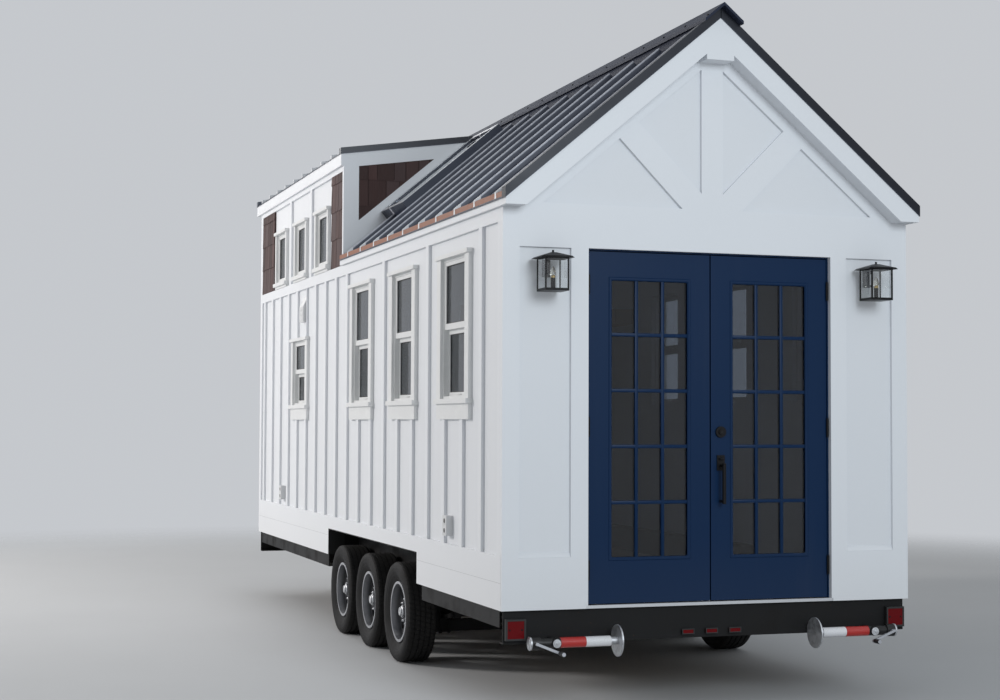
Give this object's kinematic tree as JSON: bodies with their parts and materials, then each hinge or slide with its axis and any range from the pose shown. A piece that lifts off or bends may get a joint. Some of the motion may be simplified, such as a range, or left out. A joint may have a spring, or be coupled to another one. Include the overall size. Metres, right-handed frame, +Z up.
{
  "type": "tiny house on wheels",
  "caption": "Timber tiny house on a triple axle trailer with a steep gable roof, side dormers, glazed double doors and stored jacks.",
  "frame": {"origin": "middle of the whole outline in plan, on the ground under the tyres", "axes": "+Z up, +Y from the door end to the coupler, +X to the right of someone who faces the doors"},
  "size_m": [2.59, 8.867, 3.9987],
  "materials": {
    "frame_black": "satin",
    "tyre_rubber": "matte",
    "rim_paint": "satin",
    "deck_timber": "matte",
    "wall_panels": "matte",
    "roof_timber": "matte",
    "roof_metal": "satin",
    "white_trim": "satin",
    "cedar_shakes": "matte",
    "window_vinyl": "satin",
    "clear_glass": "gloss",
    "door_paint": "satin",
    "dark_hardware": "satin",
    "light_lens": "gloss",
    "outlet_plastic": "matte",
    "zinc": "satin"
  },
  "bodies": {
    "house": {"long_rails": "frame_black", "end_beam": "frame_black", "cross_members": "frame_black", "tongue_bars": "frame_black", "coupler": "frame_black", "tongue_jack": "frame_black", "axles": "frame_black", "springs": "frame_black", "wheel_wells": "frame_black", "floors": "deck_timber", "left_wall": "wall_panels", "right_wall": "wall_panels", "front_wall": "wall_panels", "front_gable": "wall_panels", "back_wall": "wall_panels", "dormer_walls": "wall_panels", "dormer_cheeks": "wall_panels", "main_roof": "roof_timber", "dormer_roof": "roof_timber", "ridge_board": "roof_timber", "main_roofing": "roof_metal", "dormer_roofing": "roof_metal", "ridge_cap": "roof_metal", "end_trim": "white_trim", "side_trim": "white_trim", "edge_boards": "white_trim", "skirts": "white_trim", "battens": "white_trim", "shake_panels": "cedar_shakes", "windows": "window_vinyl", "glazing": "clear_glass", "door_frame": "door_paint", "frame_hinges": "dark_hardware", "lanterns": "dark_hardware", "tail_lights": "light_lens", "wall_fittings": "outlet_plastic"},
    "left_door": {"left_door": "door_paint", "left_door_glass": "clear_glass", "left_door_hinges": "dark_hardware"},
    "right_door": {"right_door": "door_paint", "right_door_glass": "clear_glass", "right_door_hinges": "dark_hardware", "door_handles": "dark_hardware"},
    "left_wheel_1": {"left_tyre_1": "tyre_rubber", "left_rim_1": "rim_paint"},
    "left_wheel_2": {"left_tyre_2": "tyre_rubber", "left_rim_2": "rim_paint"},
    "left_wheel_3": {"left_tyre_3": "tyre_rubber", "left_rim_3": "rim_paint"},
    "right_wheel_1": {"right_tyre_1": "tyre_rubber", "right_rim_1": "rim_paint"},
    "right_wheel_2": {"right_tyre_2": "tyre_rubber", "right_rim_2": "rim_paint"},
    "right_wheel_3": {"right_tyre_3": "tyre_rubber", "right_rim_3": "rim_paint"},
    "left_jack": {"left_jack": "frame_black"},
    "left_jack_foot": {"left_jack_foot": "zinc"},
    "right_jack": {"right_jack": "frame_black"},
    "right_jack_foot": {"right_jack_foot": "zinc"}
  },
  "joints": [
    {"name": "left_door_swing", "type": "hinge", "parent": "house", "child": "left_door", "pos_m": [-0.75125, -4.228, 1.58], "axis": [0, 0, -1], "range_deg": [0, 105]},
    {"name": "right_door_swing", "type": "hinge", "parent": "house", "child": "right_door", "pos_m": [0.75125, -4.228, 1.58], "axis": [0, 0, 1], "range_deg": [0, 105]},
    {"name": "left_wheel_1_spin", "type": "hinge", "parent": "house", "child": "left_wheel_1", "pos_m": [-1.1625, -1.9765, 0.332], "axis": [1, 0, 0], "continuous": true},
    {"name": "left_wheel_2_spin", "type": "hinge", "parent": "house", "child": "left_wheel_2", "pos_m": [-1.1625, -1.1615, 0.332], "axis": [1, 0, 0], "continuous": true},
    {"name": "left_wheel_3_spin", "type": "hinge", "parent": "house", "child": "left_wheel_3", "pos_m": [-1.1625, -0.3465, 0.332], "axis": [1, 0, 0], "continuous": true},
    {"name": "right_wheel_1_spin", "type": "hinge", "parent": "house", "child": "right_wheel_1", "pos_m": [1.1625, -1.9765, 0.332], "axis": [1, 0, 0], "continuous": true},
    {"name": "right_wheel_2_spin", "type": "hinge", "parent": "house", "child": "right_wheel_2", "pos_m": [1.1625, -1.1615, 0.332], "axis": [1, 0, 0], "continuous": true},
    {"name": "right_wheel_3_spin", "type": "hinge", "parent": "house", "child": "right_wheel_3", "pos_m": [1.1625, -0.3465, 0.332], "axis": [1, 0, 0], "continuous": true},
    {"name": "left_jack_swing", "type": "hinge", "parent": "house", "child": "left_jack", "pos_m": [-0.985, -4.3195, 0.398], "axis": [0, 1, 0], "range_deg": [0, 90]},
    {"name": "left_jack_screw", "type": "slide", "parent": "left_jack", "child": "left_jack_foot", "axis": [1, 0, 0], "range_m": [0, 0.2]},
    {"name": "right_jack_swing", "type": "hinge", "parent": "house", "child": "right_jack", "pos_m": [0.985, -4.3195, 0.398], "axis": [0, -1, 0], "range_deg": [0, 90]},
    {"name": "right_jack_screw", "type": "slide", "parent": "right_jack", "child": "right_jack_foot", "axis": [-1, 0, 0], "range_m": [0, 0.2]}
  ]
}
